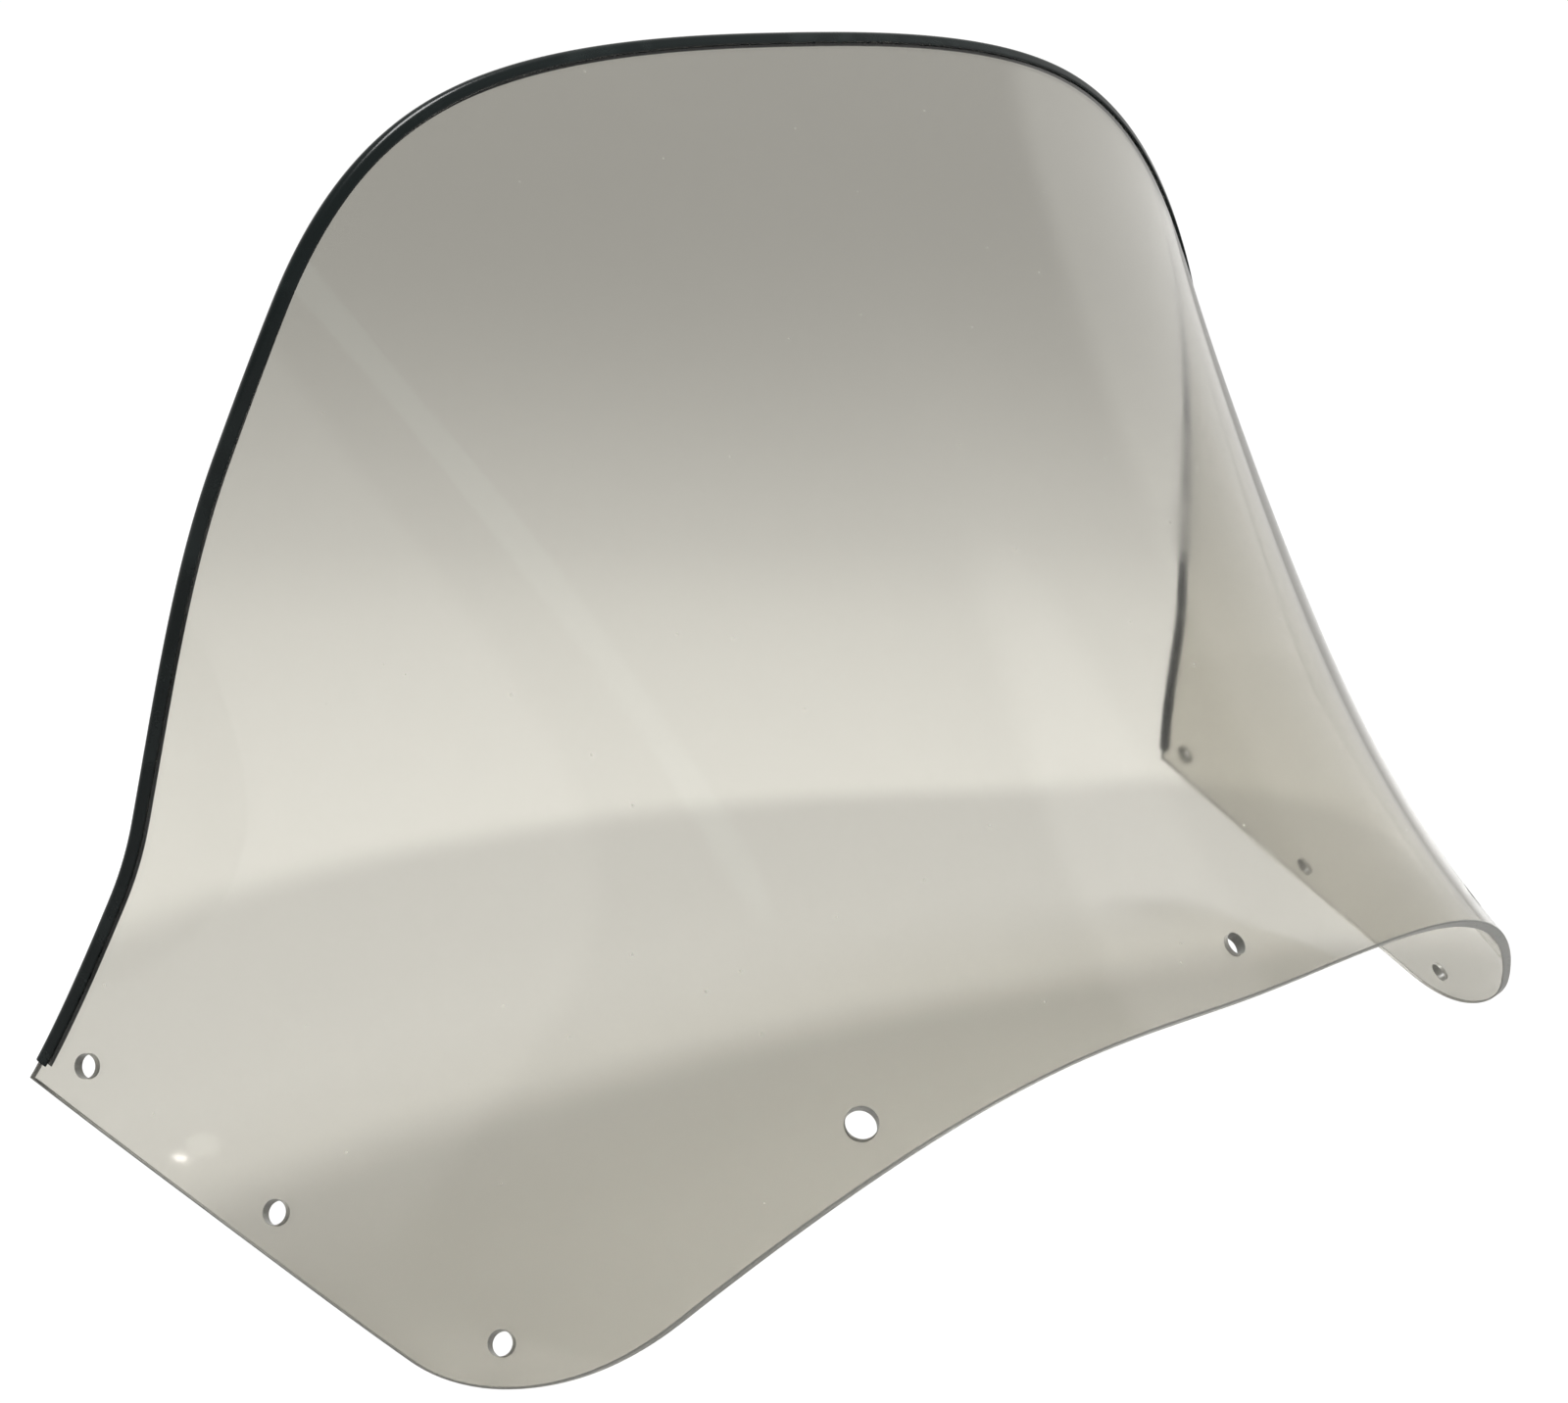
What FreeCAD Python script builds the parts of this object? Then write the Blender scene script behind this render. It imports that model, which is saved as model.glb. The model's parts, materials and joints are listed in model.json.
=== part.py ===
# Windshield screen: one formed acrylic sheet with nine screw holes, and a black
# U-section trim pushed over its upper edge.
#
# Row frame, as the screen is mounted: millimetres, +X across, +Y to the rear
# (rider's side), +Z up. The origin is in the middle screw hole, halfway through the sheet.
import FreeCAD, Part
import os

import Sketcher
from FreeCAD import Placement, Rotation, Vector

SIZES = [
    # alias, value in mm, meaning
    ("sheet_thickness", 4.0, "acrylic sheet"),
    ("rear_plane", 257.0, "every level section of the outer face ends at this Y"),
    ("hem_level", -100.0, "Z of the section below the lobes"),
    ("hem_front", -137.0, "Y of its middle control point"),
    ("hem_crown_out", 116.0, "X of the second control point"),
    ("hem_crown", -239.0, "Y of the second control point"),
    ("hem_side_out", 287.0, "X of the third control point"),
    ("hem_side", 123.0, "Y of the third control point"),
    ("hem_end_out", 440.0, "X of the end point"),
    ("skirt_level", -45.0, "Z of the section through the flared skirt"),
    ("skirt_front", -23.0, "Y of its middle control point"),
    ("skirt_crown_out", 192.0, "X of the second control point"),
    ("skirt_crown", -77.0, "Y of the second control point"),
    ("skirt_side_out", 286.0, "X of the third control point"),
    ("skirt_side", 174.0, "Y of the third control point"),
    ("skirt_end_out", 310.0, "X of the end point"),
    ("shoulder_level", 20.0, "Z of the section where the flare starts"),
    ("shoulder_front", 26.5, "Y of its middle control point"),
    ("shoulder_crown_out", 145.0, "X of the second control point"),
    ("shoulder_crown", -16.0, "Y of the second control point"),
    ("shoulder_side_out", 264.0, "X of the third control point"),
    ("shoulder_side", 150.0, "Y of the third control point"),
    ("shoulder_end_out", 292.0, "X of the end point"),
    ("top_level", 300.0, "Z of the section above the top edge"),
    ("top_front", 200.0, "Y of its middle control point"),
    ("top_crown_out", 123.0, "X of the second control point"),
    ("top_crown", 203.0, "Y of the second control point"),
    ("top_side_out", 249.0, "X of the third control point"),
    ("top_side", 215.0, "Y of the third control point"),
    ("top_end_out", 295.0, "X of the end point"),
    ("top_edge_depth", 193.5, "Y of the upright plane that the top edge lies in"),
    ("upper_bend_height", 191.0, "Z where the rear edge leaves that plane"),
    ("lower_bend_depth", 217.0, "Y where the rear edge turns to the corner"),
    ("lower_bend_height", 44.0, "Z of that turn"),
    ("corner_depth", 243.5, "Y of the wing's rear corner"),
    ("corner_height", -25.0, "Z of the wing's rear corner"),
    ("lobe_depth", 56.0, "Y where the two lines of the lobe would meet"),
    ("lobe_height", -102.5, "Z where they would meet"),
    ("nose_depth", -63.0, "Y of a point on the front line, ahead of the sheet"),
    ("nose_height", 53.0, "Z of that point"),
    ("block_top", 330.0, "Z clear of the top edge"),
    ("block_width", 960.0, "clear of both wings"),
    ("upper_bend_radius", 300.0, "rear edge, upper bend"),
    ("lower_bend_radius", 120.0, "rear edge, lower bend"),
    ("lobe_radius", 58.0, "round of the lobe"),
    ("hole_radius", 3.75, "screw holes"),
    ("front_hole_radius", 5.0, "the larger pair beside the middle"),
    ("corner_hole_depth", 224.5, "Y of the pair at the rear corners"),
    ("corner_hole_height", -19.0, "Z of that pair"),
    ("wing_hole_depth", 151.5, "Y of the pair halfway along the wings"),
    ("wing_hole_height", -52.0, "Z of that pair"),
    ("lobe_hole_depth", 74.0, "Y of the pair in the lobes"),
    ("lobe_hole_height", -78.0, "Z of that pair"),
    ("front_hole_depth", 12.0, "Y of the larger pair"),
    ("front_hole_height", -19.5, "Z of that pair"),
    ("trim_wall", 0.8, "wall of the U-section"),
    ("trim_leg", 3.6, "how far its legs reach over the sheet"),
    ("trim_back", 1.6, "rise of its round back over the sheet's edge"),
    ("trim_end_height", -19.5, "Z where it is cut off, short of the corner"),
]

RIM_POINTS = 60  # points that carry the trim's path along the sheet's rim

doc = FreeCAD.newDocument("windshield_screen")
sizes = doc.addObject("Spreadsheet::Sheet", "Sizes")
for row, (alias, value, meaning) in enumerate(SIZES, start=1):
    sizes.set(f"A{row}", meaning)
    sizes.set(f"B{row}", str(value))
    sizes.setAlias(f"B{row}", alias)
doc.recompute()


def evaluate(formula):
    """The present value of a formula of the driving dimensions."""
    return float(sizes.evalExpression(formula))


def dimension(sketch, kind, geometry, point, name, formula):
    """Hold one coordinate of a sketch point at a formula of the driving dimensions."""
    constraint = Sketcher.Constraint(kind, -1, 1, geometry, point, evaluate(formula))
    index = sketch.addConstraint(constraint)
    sketch.renameConstraint(index, name)
    sketch.setExpression(f"Constraints.{name}", formula)


def mirrored(vector):
    """The same vector on the other side of the mirror plane X = 0."""
    return Vector(-vector.x, vector.y, vector.z)


def level_section(name, level, front, crown_out, crown, side_out, side, end_out):
    """A level, symmetric B-spline section of the outer face, with seven control points."""
    sketch = doc.addObject("Sketcher::SketchObject", name)
    half = [("0", front), (crown_out, crown), (side_out, side), (end_out, "Sizes.rear_plane")]
    points = [Vector(evaluate(across), evaluate(along), 0) for across, along in half]
    other_half = [mirrored(point) for point in reversed(points[1:])]
    curve = Part.BSplineCurve()
    curve.buildFromPoles(other_half + points, False, 3)
    spline = sketch.addGeometry(curve, False)
    sketch.exposeInternalGeometry(spline)
    middle = spline + 1 + len(other_half)
    sketch.addConstraint(Sketcher.Constraint("PointOnObject", middle, 3, -2))
    dimension(sketch, "DistanceY", middle, 3, "front", front)
    for step, label in ((1, "crown"), (2, "side"), (3, "end")):
        sketch.addConstraint(Sketcher.Constraint("Symmetric", middle - step, 3, middle + step, 3, -2))
        dimension(sketch, "DistanceX", middle + step, 3, label + "_out", half[step][0])
        dimension(sketch, "DistanceY", middle + step, 3, label, half[step][1])
    sketch.setExpression("Placement.Base.z", level)
    return sketch


def named_section(name):
    """A level section whose sizes all have their own cells."""
    keys = ("level", "front", "crown_out", "crown", "side_out", "side", "end_out")
    return level_section(name.capitalize() + "Section", *(f"Sizes.{name}_{key}" for key in keys))


def halfway_section():
    """The section halfway up the straight panel, the mean of the shoulder and the top."""
    keys = ("level", "front", "crown_out", "crown", "side_out", "side", "end_out")
    means = [f"(Sizes.shoulder_{key} + Sizes.top_{key}) / 2" for key in keys]
    return level_section("HalfwaySection", *means)


def outer_skin():
    """The sheet's outer face before it is trimmed to its outline."""
    skin = doc.addObject("Part::Loft", "OuterSkin")
    skin.Sections = [
        named_section("hem"),
        named_section("skirt"),
        named_section("shoulder"),
        halfway_section(),
        named_section("top"),
    ]
    skin.Solid = False
    skin.Ruled = False
    skin.MaxDegree = 3
    return skin


def polygon(sketch, corners):
    """Closed straight outline through corners, each a pair of formulas in the sketch's plane."""
    points = [Vector(evaluate(across), evaluate(up), 0) for across, up in corners]
    for start, end in zip(points, points[1:] + points[:1]):
        sketch.addGeometry(Part.LineSegment(start, end), False)
    for line, (across, up) in enumerate(corners):
        before = (line - 1) % len(corners)
        sketch.addConstraint(Sketcher.Constraint("Coincident", before, 2, line, 1))
        dimension(sketch, "DistanceX", line, 1, f"across_{line}", across)
        dimension(sketch, "DistanceY", line, 1, f"up_{line}", up)


def edge_along_x(shape, depth, height):
    """Name of the straight edge along X at this Y and Z."""
    for number, edge in enumerate(shape.Edges, start=1):
        ends = [vertex.Point for vertex in edge.Vertexes]
        if all(abs(end.y - depth) < 0.01 and abs(end.z - height) < 0.01 for end in ends):
            return f"Edge{number}"
    raise ValueError(f"no edge along X at Y {depth}, Z {height}")


def outline_block(name):
    """Everything inside the sheet's outline as seen from the side, right across the part."""
    body = doc.addObject("PartDesign::Body", name)
    plane = next(item for item in body.Origin.OriginFeatures if item.Role == "YZ_Plane")
    sketch = body.newObject("Sketcher::SketchObject", name + "Sketch")
    sketch.AttachmentSupport = [(plane, "")]
    sketch.MapMode = "FlatFace"
    polygon(sketch, [
        ("Sizes.top_edge_depth", "Sizes.block_top"),
        ("Sizes.top_edge_depth", "Sizes.upper_bend_height"),
        ("Sizes.lower_bend_depth", "Sizes.lower_bend_height"),
        ("Sizes.corner_depth", "Sizes.corner_height"),
        ("Sizes.lobe_depth", "Sizes.lobe_height"),
        ("Sizes.nose_depth", "Sizes.nose_height"),
        ("Sizes.nose_depth", "Sizes.block_top"),
    ])
    pad = body.newObject("PartDesign::Pad", name + "Pad")
    pad.Profile = sketch
    pad.SideType = "Symmetric"
    pad.setExpression("Length", "Sizes.block_width")
    doc.recompute()
    last = pad
    for bend in ("upper_bend", "lower_bend", "lobe"):
        depth = "Sizes.top_edge_depth" if bend == "upper_bend" else f"Sizes.{bend}_depth"
        fillet = body.newObject("PartDesign::Fillet", name + bend.title().replace("_", ""))
        edge = edge_along_x(last.Shape, evaluate(depth), evaluate(f"Sizes.{bend}_height"))
        fillet.Base = (last, [edge])
        fillet.setExpression("Radius", f"Sizes.{bend}_radius")
        doc.recompute()
        last = fillet
    body.Tip = last
    return body


def section_across(depth, height):
    """Point of the outer face at this Y and Z, on the +X side, and its outward normal."""
    far_side = evaluate("Sizes.block_width / 2")
    ray = Part.makeLine(Vector(0, depth, height), Vector(far_side, depth, height))
    point = outer_face.Shape.distToShape(ray)[1][0][0]
    return point, outward_normal(point)


def outward_normal(point):
    """The outer face's normal at a point on it, away from the hollow side."""
    surface = outer_face.Shape.Faces[0].Surface
    normal = surface.normal(*surface.parameter(point))
    hollow = Vector(0, evaluate("Sizes.rear_plane"), point.z)
    return normal if normal.dot(point - hollow) > 0 else -normal


def drill(name, point, normal, radius):
    """A drill square to the sheet, clear of both its faces."""
    cylinder = doc.addObject("Part::Cylinder", name)
    cylinder.setExpression("Radius", radius)
    cylinder.setExpression("Height", "3 * Sizes.sheet_thickness")
    start = point - normal * evaluate("2 * Sizes.sheet_thickness")
    cylinder.Placement = Placement(start, Rotation(Vector(0, 0, 1), normal))
    return cylinder


def drills():
    """The middle screw hole and four pairs, from the middle out to the rear corners."""
    nearest = outer_face.Shape.distToShape(Part.Vertex(0, 0, 0))[1][0][0]
    tools = [drill("MiddleHole", Vector(0, 0, 0), outward_normal(nearest), "Sizes.hole_radius")]
    for pair, radius in (
        ("front", "Sizes.front_hole_radius"),
        ("lobe", "Sizes.hole_radius"),
        ("wing", "Sizes.hole_radius"),
        ("corner", "Sizes.hole_radius"),
    ):
        depth, height = evaluate(f"Sizes.{pair}_hole_depth"), evaluate(f"Sizes.{pair}_hole_height")
        point, normal = section_across(depth, height)
        name = pair.capitalize() + "Hole"
        tools.append(drill(name + "Right", point, normal, radius))
        tools.append(drill(name + "Left", mirrored(point), mirrored(normal), radius))
    return tools


def upper_faces():
    """The outer and inner faces of the sheet above the height where the trim is cut off."""
    above = doc.addObject("Part::Box", "AboveTrimEnds")
    for side in ("Length", "Width", "Height"):
        above.setExpression(side, "Sizes.block_width")
    above.setExpression("Placement.Base.x", "-Sizes.block_width / 2")
    above.setExpression("Placement.Base.y", "-Sizes.block_width / 2")
    above.setExpression("Placement.Base.z", "Sizes.trim_end_height")
    outer = doc.addObject("Part::Common", "UpperOuterFace")
    outer.Base = outer_face
    outer.Tool = above
    inner = doc.addObject("Part::Offset", "UpperInnerFace")
    inner.Source = outer
    inner.Mode = "Skin"
    inner.Join = "Intersection"
    inner.Fill = False
    inner.setExpression("Value", "-Sizes.sheet_thickness")
    doc.recompute()
    return outer.Shape.Faces[0], inner.Shape.Faces[0]


def trimmed_rim(face):
    """The rim edges of a face that the trim covers, in order: all but the level cut at its foot."""
    foot = evaluate("Sizes.trim_end_height + 2 * Sizes.sheet_thickness")
    rim = [edge for edge in face.Edges if max(vertex.Z for vertex in edge.Vertexes) > foot]
    points = Part.Wire(Part.sortEdges(rim)[0]).discretize(Number=RIM_POINTS)
    if points[0].x > points[-1].x:
        points.reverse()
    curve = Part.BSplineCurve()
    curve.approximate(Points=points, DegMax=3, Tolerance=0.05)
    return Part.Wire(curve.toShape())


def trim_section(rim):
    """The trim's outside shape, across its end: round-backed, with two legs over the sheet."""
    edge = rim.Edges[0]
    start = edge.valueAt(edge.FirstParameter)
    along = edge.tangentAt(edge.FirstParameter)
    normal = outward_normal(start)
    inward = normal.cross(along).normalize()
    if inward.y > 0:
        inward = -inward
    wall, leg = evaluate("Sizes.trim_wall"), evaluate("Sizes.trim_leg")
    depth = evaluate("Sizes.sheet_thickness")
    outer, inner = start + normal * wall, start - normal * (depth + wall)
    back = start - normal * (depth / 2) - inward * evaluate("Sizes.trim_back")
    return Part.Wire([
        Part.makeLine(outer + inward * leg, outer),
        Part.Arc(outer, back, inner).toShape(),
        Part.makeLine(inner, inner + inward * leg),
        Part.makeLine(inner + inward * leg, outer + inward * leg),
    ])


def trim_bar():
    """The trim's outside shape carried along the rim, square to the sheet all the way."""
    outer, inner = upper_faces()
    rim = trimmed_rim(outer)
    sweep = Part.BRepOffsetAPI.MakePipeShell(rim)
    sweep.setAuxiliarySpine(trimmed_rim(inner), False, 0)
    sweep.add(trim_section(rim), False, False)
    sweep.build()
    sweep.makeSolid()
    bar = doc.addObject("Part::Feature", "TrimBar")
    bar.Shape = sweep.shape()
    return bar


def check(parts):
    """Stop before anything is written if a feature failed or a part isn't one valid solid."""
    for item in doc.Objects:
        if "Invalid" in item.State or "Error" in item.State:
            raise RuntimeError(f"{item.Name} failed: {item.State}")
    for part in parts:
        shape = part.Shape
        if shape.isNull() or not shape.isValid() or len(shape.Solids) != 1:
            raise RuntimeError(f"{part.Label} isn't one valid solid")


outline = outline_block("Outline")
outer_face = doc.addObject("Part::Common", "OuterFace")
outer_face.Base = outer_skin()
outer_face.Tool = outline
blank = doc.addObject("Part::Offset", "Blank")
blank.Source = outer_face
blank.Mode = "Skin"
blank.Join = "Intersection"
blank.Fill = True
blank.setExpression("Value", "-Sizes.sheet_thickness")
doc.recompute()

screw_holes = doc.addObject("Part::MultiFuse", "ScrewHoles")
screw_holes.Shapes = drills()
screen_panel = doc.addObject("Part::Cut", "ScreenPanel")
screen_panel.Label = "screen_panel"
screen_panel.Base = blank
screen_panel.Tool = screw_holes
doc.recompute()

edge_trim = doc.addObject("Part::Cut", "EdgeTrim")
edge_trim.Label = "edge_trim"
edge_trim.Base = trim_bar()
edge_trim.Tool = blank
doc.recompute()

parts = (screen_panel, edge_trim)
check(parts)
os.makedirs("parts", exist_ok=True)
for part in parts:
    part.Shape.Solids[0].exportStep(f"parts/{part.Label}.step")
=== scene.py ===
"""Looks of the windshield screen: a smoke-tinted acrylic sheet with a black edge trim."""

import json
import math

import bpy
import numpy as np
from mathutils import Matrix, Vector
from mathutils.geometry import delaunay_2d_cdt


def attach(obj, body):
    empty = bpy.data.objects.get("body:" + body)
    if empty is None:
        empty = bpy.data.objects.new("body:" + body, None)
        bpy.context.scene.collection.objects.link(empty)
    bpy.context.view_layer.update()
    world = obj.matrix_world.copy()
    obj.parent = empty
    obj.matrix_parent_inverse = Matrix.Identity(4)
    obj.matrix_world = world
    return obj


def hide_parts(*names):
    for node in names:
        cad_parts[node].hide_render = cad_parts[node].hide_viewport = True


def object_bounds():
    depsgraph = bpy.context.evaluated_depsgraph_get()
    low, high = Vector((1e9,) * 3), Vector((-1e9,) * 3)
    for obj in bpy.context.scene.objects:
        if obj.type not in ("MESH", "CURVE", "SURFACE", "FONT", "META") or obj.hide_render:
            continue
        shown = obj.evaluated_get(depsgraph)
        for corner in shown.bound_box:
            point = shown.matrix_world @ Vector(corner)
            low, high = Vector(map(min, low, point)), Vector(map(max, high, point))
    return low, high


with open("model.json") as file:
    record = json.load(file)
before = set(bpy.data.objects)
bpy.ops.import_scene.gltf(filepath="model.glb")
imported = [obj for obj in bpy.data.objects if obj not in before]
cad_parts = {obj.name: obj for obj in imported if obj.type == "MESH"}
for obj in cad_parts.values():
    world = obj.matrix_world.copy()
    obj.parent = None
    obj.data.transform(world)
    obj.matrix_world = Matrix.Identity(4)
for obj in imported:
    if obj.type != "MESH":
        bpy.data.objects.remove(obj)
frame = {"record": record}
cad_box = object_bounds()
scene = bpy.context.scene


# ---------------------------------------------------------------- shader maths


class Value:
    """A shader socket that takes part in Python expressions."""

    def __init__(self, tree, socket):
        self.tree = tree
        self.socket = socket

    def _math(self, operation, first, second=None):
        node = self.tree.nodes.new("ShaderNodeMath")
        node.operation = operation
        for slot, part in enumerate((first, second)):
            if isinstance(part, Value):
                self.tree.links.new(part.socket, node.inputs[slot])
            elif part is not None:
                node.inputs[slot].default_value = part
        return Value(self.tree, node.outputs[0])

    def __add__(self, other):
        return self._math("ADD", self, other)

    __radd__ = __add__

    def __mul__(self, other):
        return self._math("MULTIPLY", self, other)

    __rmul__ = __mul__

    def __sub__(self, other):
        return self._math("SUBTRACT", self, other)

    def __rsub__(self, other):
        return self._math("SUBTRACT", other, self)


class Finish:
    """A node material with one Principled shader."""

    def __init__(self, name, **settings):
        self.material = bpy.data.materials.new(name)
        self.material.use_nodes = True
        self.tree = self.material.node_tree
        self.tree.nodes.clear()
        self.output = self.tree.nodes.new("ShaderNodeOutputMaterial")
        self.shader = self.tree.nodes.new("ShaderNodeBsdfPrincipled")
        self.tree.links.new(self.shader.outputs[0], self.output.inputs["Surface"])
        for name, value in settings.items():
            self.set(self.shader, name, value)

    def set(self, node, name, value):
        """Put a number, a colour or a link on a node's socket."""
        if isinstance(name, str):
            name = int(name) if name.isdigit() else name.replace("_", " ")
        socket = node.inputs[name]
        if isinstance(value, Value):
            self.tree.links.new(value.socket, socket)
        else:
            socket.default_value = value

    def node(self, kind, output=0, settings=None, **sockets):
        """Any other node, with its settings first and then its sockets."""
        node = self.tree.nodes.new(kind)
        for name, value in (settings or {}).items():
            setattr(node, name, value)
        for name, value in sockets.items():
            self.set(node, name, value)
        return Value(self.tree, node.outputs[output])

    def blend(self, share, first, second):
        """A colour between two others."""
        sockets = {"0": share, "6": first, "7": second}
        return self.node("ShaderNodeMix", output=2, settings={"data_type": "RGBA"}, **sockets)

    def ramp(self, value, low, high, at_low, at_high, settings=None):
        """A value carried from one range to another."""
        ends = {"From_Min": low, "From_Max": high, "To_Min": at_low, "To_Max": at_high}
        return self.node("ShaderNodeMapRange", settings=settings, Value=value, **ends)


# ---------------------------------------------------------------- the sheet's surface

MM = 0.001
THICKNESS = 4.0 * MM
EDGE_ROUND = 0.6 * MM  # radius along the sheet's outline
HOLE_ROUND = 0.2 * MM  # radius round the screw holes
ROUND_TURNS = [math.radians(angle) for angle in (25.0, 50.0, 75.0, 90.0)]
GRID = 5.0 * MM  # spacing of the face's inner points
ROW_SHARE = 0.866  # height of a row of equal triangles, over their side
RIM_STEP = 3.0 * MM  # spacing of points along the outline
RIM_CLEARANCE = 0.55  # inner points keep this share of a rim step from every rim
LINE_POINTS = 120  # points that carry the front line and the top edge
ARC_POINTS = 60
HOLE_POINTS = 48
MEASURE_POINTS = 200
TABLE_SIZE = 2001
HALVINGS = 40
DRILL_STEPS = 30
NUDGE = 1e-4  # small step in around or up, for slopes
REAR_PLANE = 257.0

# Level sections of the outer face, in mm: height, then the control points of its right
# half as (across, back), from the middle out. The last one ends at the rear plane.
SECTIONS = (
    (-100.0, (0.0, -137.0), (116.0, -239.0), (287.0, 123.0), (440.0, REAR_PLANE)),
    (-45.0, (0.0, -23.0), (192.0, -77.0), (286.0, 174.0), (310.0, REAR_PLANE)),
    (20.0, (0.0, 26.5), (145.0, -16.0), (264.0, 150.0), (292.0, REAR_PLANE)),
    (160.0, (0.0, 113.25), (134.0, 93.5), (256.5, 182.5), (293.5, REAR_PLANE)),
    (300.0, (0.0, 200.0), (123.0, 203.0), (249.0, 215.0), (295.0, REAR_PLANE)),
)
ROUND_KNOTS = np.array([0, 0, 0, 0, 0.25, 0.5, 0.75, 1, 1, 1, 1], float)

# Side outline in mm, (back, height) and the radius of each bend.
TOP_DEPTH = 193.5
TOP_HEIGHT = 330.0
UPPER_BEND = ((TOP_DEPTH, 191.0), 300.0)
LOWER_BEND = ((217.0, 44.0), 120.0)
CORNER = (243.5, -25.0)
LOBE = ((56.0, -102.5), 58.0)
NOSE = (-63.0, 53.0)
TRIM_FOOT = -19.5 * MM


def blend_weights(knots, degree, t):
    """B-spline basis functions at each t, one column per control point."""
    t = np.clip(np.asarray(t, float), 0.0, 1.0 - 1e-12)[:, None]
    weights = ((knots[:-1] <= t) & (t < knots[1:])).astype(float)
    for order in range(1, degree + 1):
        count = len(knots) - order - 1
        rise = knots[order:order + count] - knots[:count]
        fall = knots[order + 1:order + 1 + count] - knots[1:1 + count]
        after = knots[order + 1:order + 1 + count]
        up = np.where(rise > 0, (t - knots[:count]) / np.where(rise > 0, rise, 1), 0)
        down = np.where(fall > 0, (after - t) / np.where(fall > 0, fall, 1), 0)
        weights = up * weights[:, :count] + down * weights[:, 1:count + 1]
    return weights


class FormedSheet:
    """The outer face: a cubic surface through the level sections."""

    def __init__(self):
        rows = []
        for height, *half in SECTIONS:
            right = [(across, back, height) for across, back in half]
            left = [(-across, back, height) for across, back in half[:0:-1]]
            rows.append(left + right)
        rows = np.array(rows) * MM
        steps = np.linalg.norm((rows[1:] - rows[:-1]).reshape(len(rows) - 1, -1), axis=1)
        self.rise = np.r_[0, np.cumsum(steps)] / steps.sum()
        self.knots = np.r_[[0] * 4, self.rise[2], [1] * 4]
        weights = blend_weights(self.knots, 3, self.rise)
        weights[-1] = [0, 0, 0, 0, 1]
        self.net = np.einsum("jk,kil->jil", np.linalg.inv(weights), rows)

    def point(self, around, up):
        """Points of the outer face; around and up run from 0 to 1."""
        across = blend_weights(ROUND_KNOTS, 3, around)
        along = blend_weights(self.knots, 3, up)
        return np.einsum("ni,nj,jil->nl", across, along, self.net)

    def normal(self, around, up):
        """Unit normals, away from the hollow side."""
        side = self.point(around + NUDGE, up) - self.point(around - NUDGE, up)
        rise = self.point(around, up + NUDGE) - self.point(around, up - NUDGE)
        square = np.cross(side, rise)
        return square / np.linalg.norm(square, axis=1)[:, None]

    def level(self, height):
        """The up value where the face reaches each height, in metres."""
        table = np.linspace(0, 1, TABLE_SIZE)
        return np.interp(height, self.point(np.full(TABLE_SIZE, 0.5), table)[:, 2], table)

    def at_depth(self, depth, up):
        """The around value, on the right, where the face at each up value reaches a depth."""
        low, high = np.full(len(up), 0.5), np.full(len(up), 1.0)
        for _ in range(HALVINGS):
            middle = (low + high) / 2
            short = self.point(middle, up)[:, 1] < depth
            low, high = np.where(short, middle, low), np.where(short, high, middle)
        return (low + high) / 2

    def at_line(self, start, end, around):
        """The up value where the face, at each around value, crosses a line of the side view."""
        (back, height), (far_back, far_height) = start, end
        low, high = np.zeros(len(around)), np.ones(len(around))
        for _ in range(HALVINGS):
            middle = (low + high) / 2
            place = self.point(around, middle) / MM
            along = (far_back - back) * (place[:, 2] - height)
            across = (far_height - height) * (place[:, 1] - back)
            short = along - across < 0
            low, high = np.where(short, middle, low), np.where(short, high, middle)
        return (low + high) / 2


def rounded(before, corner, radius, after):
    """The arc that rounds a corner of the side outline, in mm."""
    before, corner, after = (np.array(point, float) for point in (before, corner, after))
    to_before = (before - corner) / np.linalg.norm(before - corner)
    to_after = (after - corner) / np.linalg.norm(after - corner)
    half_turn = math.acos(np.clip(to_before @ to_after, -1, 1)) / 2
    middle = to_before + to_after
    centre = corner + middle / np.linalg.norm(middle) * radius / math.sin(half_turn)
    reach = radius / math.tan(half_turn)
    start, end = corner + to_before * reach - centre, corner + to_after * reach - centre
    share = np.linspace(0, 1, ARC_POINTS)[:, None]
    swing = math.acos(np.clip(start @ end / radius**2, -1, 1))
    turned = np.sin((1 - share) * swing) * start + np.sin(share * swing) * end
    return centre + turned / math.sin(swing)


def spaced(sheet, path, step):
    """Points of a path of (around, up) pairs, evenly spaced along the face."""
    places = sheet.point(path[:, 0], path[:, 1])
    run = np.r_[0, np.cumsum(np.linalg.norm(np.diff(places, axis=0), axis=1))]
    stops = np.linspace(0, run[-1], max(2, round(run[-1] / step)) + 1)
    return np.stack([np.interp(stops, run, path[:, axis]) for axis in (0, 1)], 1)


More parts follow.
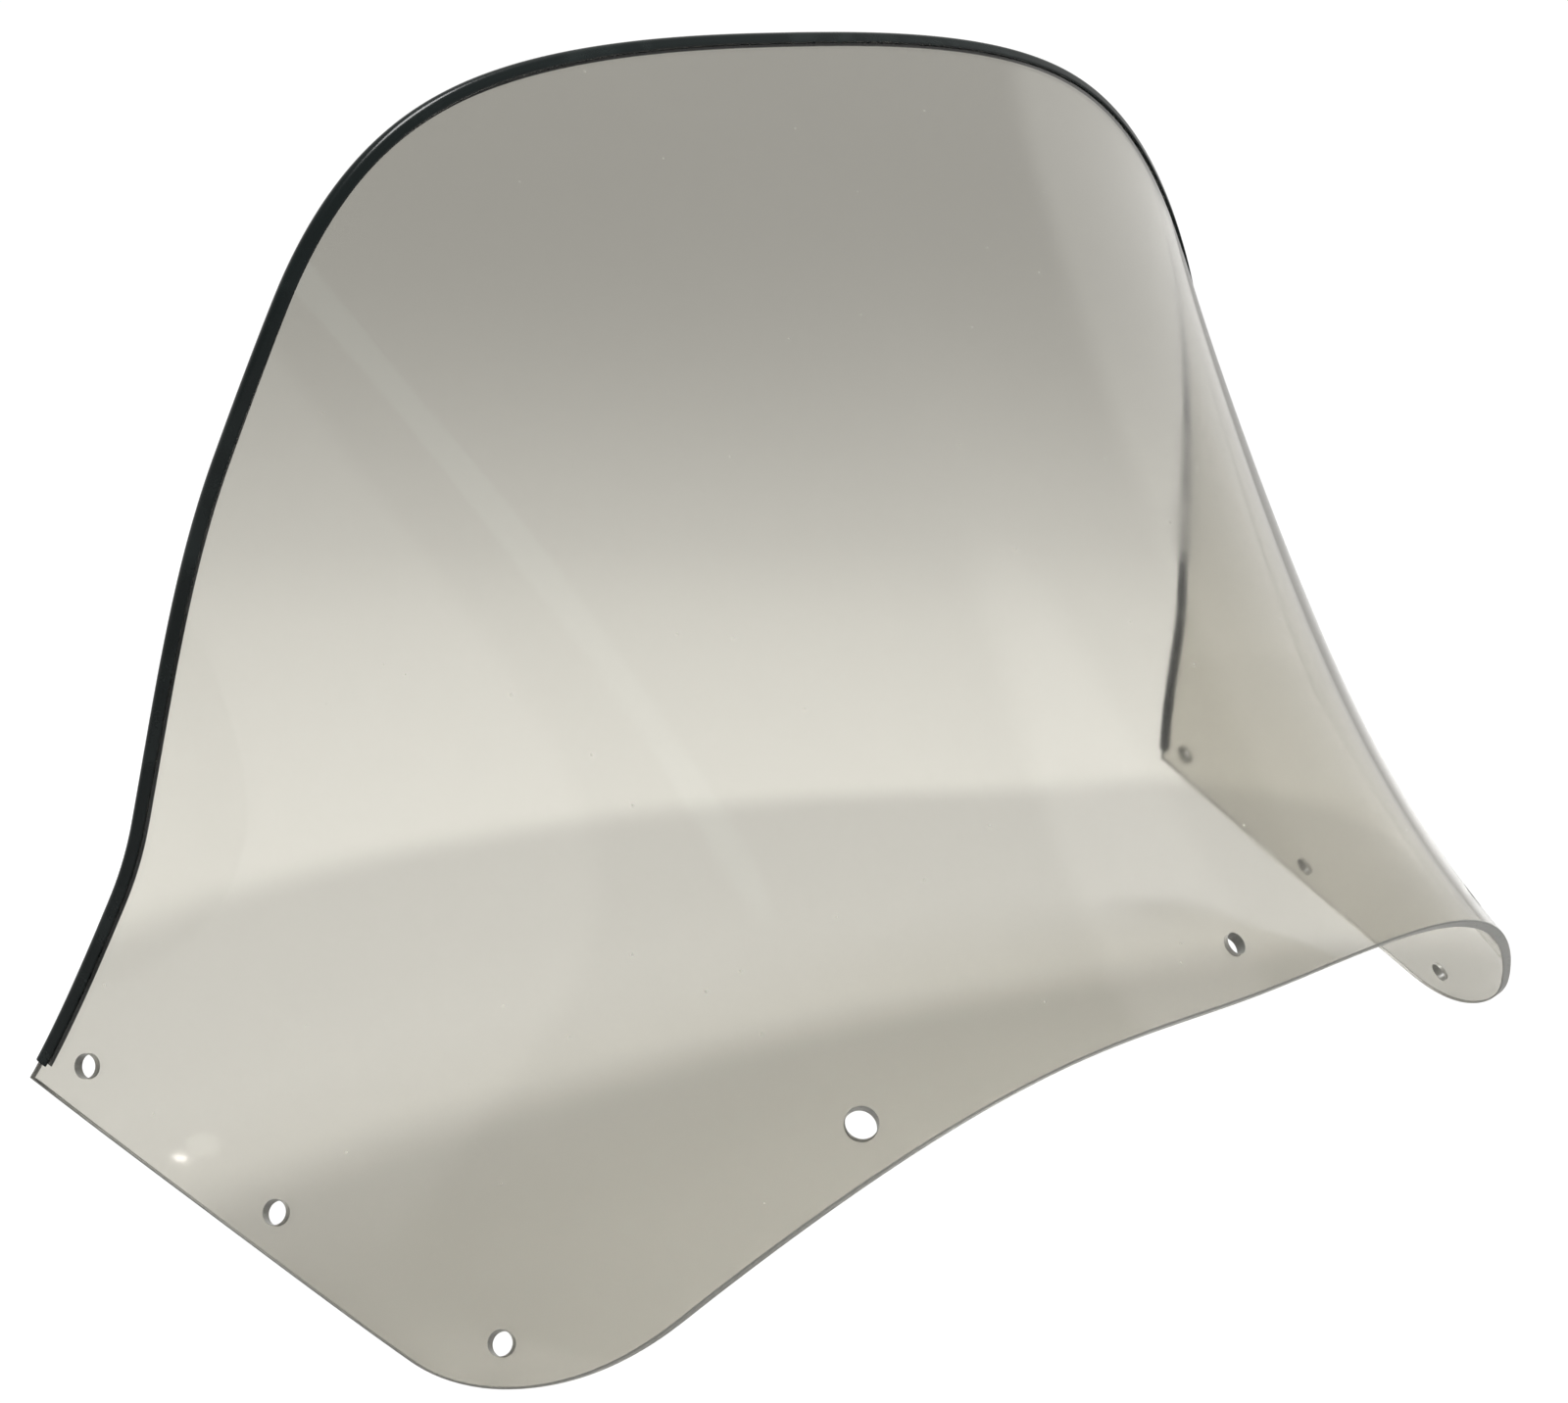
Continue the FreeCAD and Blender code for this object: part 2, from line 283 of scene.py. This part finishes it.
def outline(sheet):
    """The sheet's right-hand outline in two runs of (around, up) pairs: middle of the lower
    edge to the rear corner, and rear corner to the middle of the top edge."""
    top = (TOP_DEPTH, TOP_HEIGHT)
    lobe = rounded(NOSE, LOBE[0], LOBE[1], CORNER)
    lower = rounded(CORNER, LOWER_BEND[0], LOWER_BEND[1], UPPER_BEND[0])
    upper = rounded(LOWER_BEND[0], UPPER_BEND[0], UPPER_BEND[1], top)

    def placed(points):
        """A line of the side view, every millimetre, as (around, up) pairs."""
        run = np.r_[0, np.cumsum(np.linalg.norm(np.diff(points, axis=0), axis=1))]
        stops = np.union1d(np.arange(0, run[-1], 1.0), run[-1])
        points = np.stack([np.interp(stops, run, points[:, axis]) for axis in (0, 1)], 1)
        up = sheet.level(points[:, 1] * MM)
        return np.stack([sheet.at_depth(points[:, 0] * MM, up), up], 1)

    lobe = placed(np.vstack([lobe, CORNER]))
    rear = placed(np.vstack([[CORNER], lower, upper]))
    front = np.linspace(0.5, lobe[0, 0], LINE_POINTS)[:-1]
    crown = np.linspace(rear[-1, 0], 0.5, LINE_POINTS)[1:]
    front = np.stack([front, sheet.at_line(NOSE, LOBE[0], front)], 1)
    crown = np.stack([crown, sheet.at_line(top, (TOP_DEPTH, 0.0), crown)], 1)
    runs = np.vstack([front, lobe]), np.vstack([rear, crown])
    return [spaced(sheet, run, RIM_STEP) for run in runs]


def full_loop(half_runs):
    """The closed outline from its right half, without repeated points."""
    right = np.vstack([half_runs[0], half_runs[1][1:]])
    left = right[-2:0:-1] * [-1, 1] + [1, 0]
    return np.vstack([right, left])


def hole_loop(sheet, mount):
    """Where a drill through a screw hole meets the outer face, as (around, up) pairs."""
    centre, axis = np.array(mount["pos_m"]), np.array(mount["axis"])
    radius = mount["dims"]["r_mm"] * MM
    side = np.cross(axis, [0, 0, 1.0])
    side /= np.linalg.norm(side)
    rise = np.cross(side, axis)
    angles = np.linspace(0, 2 * math.pi, HOLE_POINTS, endpoint=False)[:, None]
    circle = radius * (np.cos(angles) * side + np.sin(angles) * rise)
    circle = centre + axis * THICKNESS / 2 + circle
    up = sheet.level(circle[:, 2])
    around = np.full(len(circle), 0.5 + 0.4 * np.sign(centre[0]))
    for _ in range(DRILL_STEPS):
        place = sheet.point(around, up)
        ahead = (sheet.point(around + NUDGE, up) - place) / NUDGE
        above = (sheet.point(around, up + NUDGE) - place) / NUDGE
        gap = circle - place
        gap -= (gap @ axis)[:, None] * axis
        square = np.stack([ahead, above, np.broadcast_to(axis, ahead.shape)], 2)
        move = np.linalg.solve(square, gap[:, :, None])[:, :, 0]
        around, up = around + move[:, 0], up + move[:, 1]
    return np.stack([around, up], 1)


def inside(points, loop):
    """Which flat points lie inside a closed loop."""
    result = np.zeros(len(points), bool)
    for (ax, ay), (bx, by) in zip(loop, np.roll(loop, -1, 0)):
        if ay != by:
            crosses = (ay > points[:, 1]) != (by > points[:, 1])
            edge = (bx - ax) * (points[:, 1] - ay) / (by - ay) + ax
            result ^= crosses & (points[:, 0] < edge)
    return result


def rim_frames(sheet, loop, closed, toward=None):
    """Place, outward normal and direction off the edge at each point of a rim."""
    place, normal = sheet.point(*loop.T), sheet.normal(*loop.T)
    if closed:
        tangent = np.roll(place, -1, 0) - np.roll(place, 1, 0)
    else:
        tangent = np.gradient(place, axis=0)
    away = np.cross(tangent, normal)
    away /= np.linalg.norm(away, axis=1)[:, None]
    aim = place - sheet.point([0.5], [0.5]) if toward is None else toward - place
    return place, normal, away if (away * aim).sum() > 0 else -away


def make_mesh(name, points, faces, normals, materials):
    """A smooth mesh object from points, faces and the true normal at each point."""
    mesh = bpy.data.meshes.new(name)
    mesh.from_pydata([tuple(point) for point in points], [], faces)
    mesh.shade_smooth()
    if normals is not None:
        mesh.normals_split_custom_set_from_vertices([tuple(normal) for normal in normals])
    for material in materials:
        mesh.materials.append(material)
    item = bpy.data.objects.new(name, mesh)
    scene.collection.objects.link(item)
    return item


def on_the_sheet(points, loops):
    """Which flat points lie inside the outline and outside every hole."""
    keep = inside(points, loops[0])
    for hole in loops[1:]:
        keep &= ~inside(points, hole)
    return keep


def inner_points(loops):
    """A triangular grid of flat points over the sheet, clear of every rim."""
    low, high = loops[0].min(0), loops[0].max(0)
    columns = np.arange(low[0], high[0], GRID)
    rows = np.arange(low[1], high[1], GRID * ROW_SHARE)
    across, along = np.meshgrid(columns, rows)
    across = across + (np.arange(len(rows)) % 2)[:, None] * GRID / 2
    inner = np.stack([across.ravel(), along.ravel()], 1)
    inner = inner[on_the_sheet(inner, loops)]
    rims = np.vstack(loops)
    near = np.array([np.min(((rims - point) ** 2).sum(1)) for point in inner])
    return inner[near > (RIM_CLEARANCE * RIM_STEP) ** 2]


def flat_triangles(loops):
    """Flat points, their triangles, and where each rim point ended up among them."""
    points = np.vstack([np.vstack(loops), inner_points(loops)])
    edges, start = [], 0
    for loop in loops:
        count = len(loop)
        edges += [(start + step, start + (step + 1) % count) for step in range(count)]
        start += count
    result = delaunay_2d_cdt([Vector(point) for point in points], edges, [], 0, 1e-9)
    spots, triangles = np.array([tuple(spot) for spot in result[0]]), np.array(result[2])
    triangles = triangles[on_the_sheet(spots[triangles].mean(1), loops)]
    home = {source: index for index, sources in enumerate(result[3]) for source in sources}
    return spots, triangles, home


def face_length(sheet, around, up):
    """Length of a run along the face."""
    return np.linalg.norm(np.diff(sheet.point(around, up), axis=0), axis=1).sum()


def formed_screen(sheet, half_runs, mounts, materials):
    """The sheet with its polished edge and its drilled holes."""
    share, middle = np.linspace(0, 1, MEASURE_POINTS), np.full(MEASURE_POINTS, 0.5)
    scale = np.array([face_length(sheet, share, middle), face_length(sheet, middle, share)])
    loops = [full_loop(half_runs)] + [hole_loop(sheet, mount) for mount in mounts]
    centres = [None] + [np.array(mount["pos_m"]) for mount in mounts]
    spots, triangles, home = flat_triangles([loop * scale for loop in loops])

    flat_home = (spots / scale).T
    outer, normals = sheet.point(*flat_home), sheet.normal(*flat_home)
    rings, start = [], 0
    for loop, centre in zip(loops, centres):
        place, normal, away = rim_frames(sheet, loop, True, centre)
        members = [home[start + step] for step in range(len(loop))]
        start += len(loop)
        radius = EDGE_ROUND if centre is None else HOLE_ROUND
        outer[members] = place - away * radius
        normals[members] = normal
        rings.append((members, place, normal, away, radius))

    count = len(outer)
    flipped = triangles[:, ::-1]
    first, second, third = triangles[len(triangles) // 2]
    facing = np.cross(outer[second] - outer[first], outer[third] - outer[first])
    if facing @ normals[first] < 0:
        triangles, flipped = flipped, triangles
    all_points = [outer, outer - normals * THICKNESS]
    all_normals = [normals, -normals]
    faces = [tuple(map(int, face)) for face in np.vstack([triangles, flipped + count])]
    total, face_count = 2 * count, len(faces)
    profile = [(turn, False) for turn in ROUND_TURNS] + [(turn, True) for turn in ROUND_TURNS[::-1]]
    for members, place, normal, away, radius in rings:
        previous = members
        for turn, below in profile:
            out = radius * math.sin(turn) - radius
            down = radius * (1 - math.cos(turn))
            down = THICKNESS - down if below else down
            side = -math.cos(turn) if below else math.cos(turn)
            all_points.append(place + away * out - normal * down)
            all_normals.append(away * math.sin(turn) + normal * side)
            current = list(range(total, total + len(members)))
            total += len(members)
            faces += band(current, previous)
            previous = current
        faces += band([member + count for member in members], previous)
    points, normals = np.vstack(all_points), np.vstack(all_normals)
    item = make_mesh("screen_sheet", points, faces, normals, materials)
    for polygon in item.data.polygons[face_count:]:
        polygon.material_index = 1
    return item


def band(first, second):
    """Quads that join two closed rings of the same length."""
    count = len(first)
    following = [(k + 1) % count for k in range(count)]
    return [(first[k], first[n], second[n], second[k]) for k, n in enumerate(following)]


# The trim's section in mm, as (off the sheet's edge, along the sheet's normal): one leg from
# its tip, the oval of the round back, and the slot that holds the sheet.
LEG = (
    (-3.6, 0.05), (-3.6, 0.35), (-3.5, 0.62), (-3.25, 0.77),
    (-2.8, 0.83), (-2.0, 0.81), (-1.1, 0.8),
)
BACK_CENTRE = (-0.9, -2.0)
BACK_REACH = (2.5, 2.85)
BACK_TURN = 79.6
BACK_POINTS = 19
SLOT = ((0.08, -4.05), (0.08, 0.05))
SHARP_ANGLE = math.radians(40)


def strip_section():
    """The trim's section, once round."""
    sheet_depth = THICKNESS / MM
    turns = np.radians(np.linspace(BACK_TURN, -BACK_TURN, BACK_POINTS))
    back = np.array(BACK_CENTRE) + BACK_REACH * np.stack([np.cos(turns), np.sin(turns)], 1)
    far_leg = [(off, -sheet_depth - along) for off, along in LEG[::-1]]
    return np.vstack([LEG, back, far_leg, SLOT]) * MM


def edge_strip(sheet, half_runs, material):
    """The black strip pushed over the sheet's rear and top edge."""
    rear = half_runs[1]
    heights = sheet.point(*rear.T)[:, 2]
    first = int(np.argmax(heights > TRIM_FOOT))
    share = (TRIM_FOOT - heights[first - 1]) / (heights[first] - heights[first - 1])
    start = rear[first - 1] + share * (rear[first] - rear[first - 1])
    half = np.vstack([start, rear[first:]])
    path = np.vstack([half, half[-2::-1] * [-1, 1] + [1, 0]])
    place, normal, away = rim_frames(sheet, path, False)
    section = strip_section()
    count, size = len(path), len(section)
    off, along = section[:, :1], section[:, 1:]
    points = np.vstack([place[k] + off * away[k] + along * normal[k] for k in range(count)])
    rings = np.arange(count * size).reshape(count, size).tolist()
    faces = []
    for here, there in zip(rings, rings[1:]):
        faces += band(here, there)
    faces += [tuple(rings[0][::-1]), tuple(rings[-1])]
    item = make_mesh("edge_strip", points, faces, None, [material])
    item.data.set_sharp_from_angle(angle=SHARP_ANGLE)
    return item


# ---------------------------------------------------------------- finishes


ACRYLIC_IOR = 1.49


def lit_through(finish, tint):
    """Let lamps shine through the finish, with a tint, so that it casts a pale shadow."""
    clear = finish.tree.nodes.new("ShaderNodeBsdfTransparent")
    clear.inputs["Color"].default_value = tint
    mix = finish.tree.nodes.new("ShaderNodeMixShader")
    finish.set(mix, 0, finish.node("ShaderNodeLightPath", output="Is Shadow Ray"))
    finish.tree.links.new(finish.shader.outputs[0], mix.inputs[1])
    finish.tree.links.new(clear.outputs[0], mix.inputs[2])
    finish.tree.links.new(mix.outputs[0], finish.output.inputs["Surface"])


def tinted_acrylic():
    """Clear acrylic with a light smoke tint, lightly smeared by wiping and dotted with dust."""
    finish = Finish(
        "tinted_acrylic",
        Base_Color=(0.605, 0.590, 0.535, 1.0),
        IOR=ACRYLIC_IOR,
        Transmission_Weight=1.0,
    )
    place = finish.node("ShaderNodeTexCoord", output="Object")
    smears = finish.node("ShaderNodeTexNoise", Vector=place, Scale=9.0, Detail=3.0, Distortion=1.2)
    specks = finish.node("ShaderNodeTexVoronoi", Vector=place, Scale=60.0)
    dust = finish.ramp(specks, 0.02, 0.05, 1.0, 0.0)
    wiped = finish.ramp(smears, 0.45, 0.75, 0.03, 0.1)
    finish.set(finish.shader, "Roughness", wiped + dust * 0.25)
    lit_through(finish, (0.80, 0.79, 0.77, 1.0))
    return finish.material


def polished_edge():
    """The sheet's saw-cut edge: lightly polished, with faint saw marks, duller than its faces."""
    finish = Finish("polished_edge", IOR=ACRYLIC_IOR, Transmission_Weight=0.2)
    place = finish.node("ShaderNodeTexCoord", output="Object")
    marks = finish.node("ShaderNodeTexNoise", Vector=place, Scale=900.0, Detail=2.0)
    tone = finish.blend(marks, (0.12, 0.12, 0.11, 1.0), (0.24, 0.24, 0.22, 1.0))
    finish.set(finish.shader, "Base Color", tone)
    finish.set(finish.shader, "Roughness", 0.2 + marks * 0.25)
    lit_through(finish, (0.80, 0.80, 0.77, 1.0))
    return finish.material


def black_trim():
    """Extruded black strip with a soft gloss, a little dusty and unevenly wiped."""
    finish = Finish("black_trim", IOR=1.45, Specular_IOR_Level=0.22)
    place = finish.node("ShaderNodeTexCoord", output="Object")
    grain = finish.node("ShaderNodeTexNoise", Vector=place, Scale=1400.0, Detail=2.0)
    wiped = finish.node("ShaderNodeTexNoise", Vector=place, Scale=38.0, Detail=4.0, Distortion=0.6)
    dusty = finish.ramp(wiped, 0.5, 0.75, 0.0, 1.0)
    tone = finish.blend(dusty, (0.003, 0.006, 0.006, 1.0), (0.009, 0.014, 0.014, 1.0))
    finish.set(finish.shader, "Base Color", tone)
    finish.set(finish.shader, "Roughness", 0.2 + dusty * 0.12 + grain * 0.08)
    relief = finish.node("ShaderNodeBump", Height=grain, Strength=0.08, Distance=0.0002)
    finish.set(finish.shader, "Normal", relief)
    return finish.material


# ---------------------------------------------------------------- stage

FLOOR_REACH = 150.0  # far enough that its end is never in view
FLOOR_TONE = 0.86
# Painted shade on the floor, in soft rounds: the first two are darker inside and stand in for the
# screen's shadows, the third is darker outside and stands in for light falling off far away. Each
# gives centre, reach, softness, and how light it is inside and outside.
PAINTED_FLOOR_SHADE = (
    ((0.09, 0.06), 0.51, 0.03, 0.76, 1.0),
    ((-0.133, -0.64), 0.9, 0.03, 0.70, 1.0),
    ((-0.3, -0.1), 1.55, 0.22, 1.0, 0.93),
)
BACKDROP_GLOW = 1.12  # how bright the room itself looks from the camera
GLOW_SHARE = 0.85

CAMERA_PLACE = (-0.896362, -0.611656, 0.306617)
CAMERA_TURN = (78.1777, 0.1269, -48.001)
CAMERA_SENSOR = 36.0
CAMERA_LENS = 78.745
CAMERA_REACH = 500.0

# The room's light, by direction: between these two, each a share of the way from straight
# down to straight up, the walls' light drops to the ceiling's.
ROOM_COLOUR = (1.0, 0.99, 0.97, 1.0)
WALL_HEIGHTS = (0.44, 0.49)
WALL_LIGHT, CEILING_LIGHT = 0.95, 0.55

# Round soft boxes: name, place, aim, size, watts and colour.
LAMPS = (
    ("overhead", (0.12, -0.08, 2.0), (0.12, -0.08, 0.0), 0.8, 45.0, (1.0, 1.0, 1.0)),
    ("front_strip", (-1.0, -1.9, 1.75), (-0.16, 0.06, 0.05), 0.3, 0.09, (0.85, 1.0, 0.98)),
    ("side_spot", (-2.2, 0.62, 0.6), (-0.28, 0.18, -0.04), 0.022, 0.035, (1.0, 0.95, 0.9)),
    ("side_haze", (-2.2, 0.56, 0.55), (-0.28, 0.18, -0.04), 0.08, 0.018, (1.0, 0.97, 0.94)),
)


def floor():
    """A wide pale floor at the lobes' lowest point, its tone darkened by painted shadows near the
    screen and by painted fall-off of light far from it.
    """
    low = cad_box[0][2]
    corners = [(-1, -1), (1, -1), (1, 1), (-1, 1)]
    mesh = bpy.data.meshes.new("floor")
    points = [(across * FLOOR_REACH, back * FLOOR_REACH, low) for across, back in corners]
    mesh.from_pydata(points, [], [(0, 1, 2, 3)])
    item = bpy.data.objects.new("floor", mesh)
    scene.collection.objects.link(item)
    finish = Finish("pale_floor", Roughness=0.9)
    place = finish.node("ShaderNodeTexCoord", output="Object")
    tone_with_painted_shade = FLOOR_TONE
    # Painted shade: the floor's tone is darkened in soft rounds that stand in for shadows and for
    # light falling off.
    for centre, reach, soft, within, beyond in PAINTED_FLOOR_SHADE:
        sockets = {"0": place, "1": (*centre, low)}
        distance = {"operation": "DISTANCE"}
        off = finish.node("ShaderNodeVectorMath", output="Value", settings=distance, **sockets)
        smooth = {"interpolation_type": "SMOOTHSTEP"}
        tone_with_painted_shade = tone_with_painted_shade * finish.ramp(off, reach - soft, reach + soft, within, beyond, smooth)
    tone = finish.node("ShaderNodeCombineColor", Red=tone_with_painted_shade, Green=tone_with_painted_shade, Blue=tone_with_painted_shade)
    finish.set(finish.shader, "Base Color", tone)
    glow = finish.tree.nodes.new("ShaderNodeEmission")
    glow.inputs["Color"].default_value = (1.0, 1.0, 1.0, 1.0)
    glow.inputs["Strength"].default_value = BACKDROP_GLOW
    mix = finish.tree.nodes.new("ShaderNodeMixShader")
    seen = finish.node("ShaderNodeLightPath", output="Is Camera Ray")
    finish.set(mix, 0, seen * GLOW_SHARE)
    finish.tree.links.new(finish.shader.outputs[0], mix.inputs[1])
    finish.tree.links.new(glow.outputs[0], mix.inputs[2])
    finish.tree.links.new(mix.outputs[0], finish.output.inputs["Surface"])
    mesh.materials.append(finish.material)


def lamp(name, place, aim, size, watts, colour):
    """A round soft box at a place, pointed at another."""
    light = bpy.data.lights.new(name, "AREA")
    light.shape = "DISK"
    light.size = size
    light.energy = watts
    light.color = colour
    item = bpy.data.objects.new(name, light)
    item.location = place
    item.rotation_euler = (Vector(aim) - Vector(place)).to_track_quat("-Z", "Y").to_euler()
    scene.collection.objects.link(item)


def camera():
    """The camera, in front and to the left, a little above."""
    lens = bpy.data.cameras.new("camera")
    lens.sensor_width = CAMERA_SENSOR
    lens.lens = CAMERA_LENS
    lens.clip_end = CAMERA_REACH
    item = bpy.data.objects.new("camera", lens)
    item.location = CAMERA_PLACE
    item.rotation_euler = [math.radians(angle) for angle in CAMERA_TURN]
    scene.collection.objects.link(item)
    scene.camera = item


def room():
    """A pale room with a darker ceiling, whose walls look as white as the floor."""
    world = bpy.data.worlds.new("studio")
    world.use_nodes = True
    tree = world.node_tree
    background = tree.nodes["Background"]
    place = tree.nodes.new("ShaderNodeTexCoord")
    parts = tree.nodes.new("ShaderNodeSeparateXYZ")
    tree.links.new(place.outputs["Generated"], parts.inputs[0])
    wall = tree.nodes.new("ShaderNodeMapRange")
    wall.interpolation_type = "SMOOTHSTEP"
    tree.links.new(parts.outputs["Z"], wall.inputs["Value"])
    names = ("From Min", "From Max", "To Min", "To Max")
    for name, value in zip(names, (*WALL_HEIGHTS, WALL_LIGHT, CEILING_LIGHT)):
        wall.inputs[name].default_value = value
    path = tree.nodes.new("ShaderNodeLightPath")
    seen = Value(tree, path.outputs["Is Camera Ray"])
    strength = Value(tree, wall.outputs[0]) * (1.0 - seen) + seen * BACKDROP_GLOW
    tree.links.new(strength.socket, background.inputs["Strength"])
    background.inputs["Color"].default_value = ROOM_COLOUR
    scene.world = world


sheet = FormedSheet()
half_runs = outline(sheet)
sheet_finishes = [tinted_acrylic(), polished_edge()]
screen = formed_screen(sheet, half_runs, frame["record"]["mounts"], sheet_finishes)
strip = edge_strip(sheet, half_runs, black_trim())
stand_ins = ((screen, "screen_panel", "tinted_acrylic"), (strip, "edge_trim", "black_trim"))
for piece, node, slot in stand_ins:
    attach(piece, "root")
    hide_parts(node)
floor()
camera()
room()
for soft_box in LAMPS:
    lamp(*soft_box)
scene.view_settings.view_transform = "Standard"
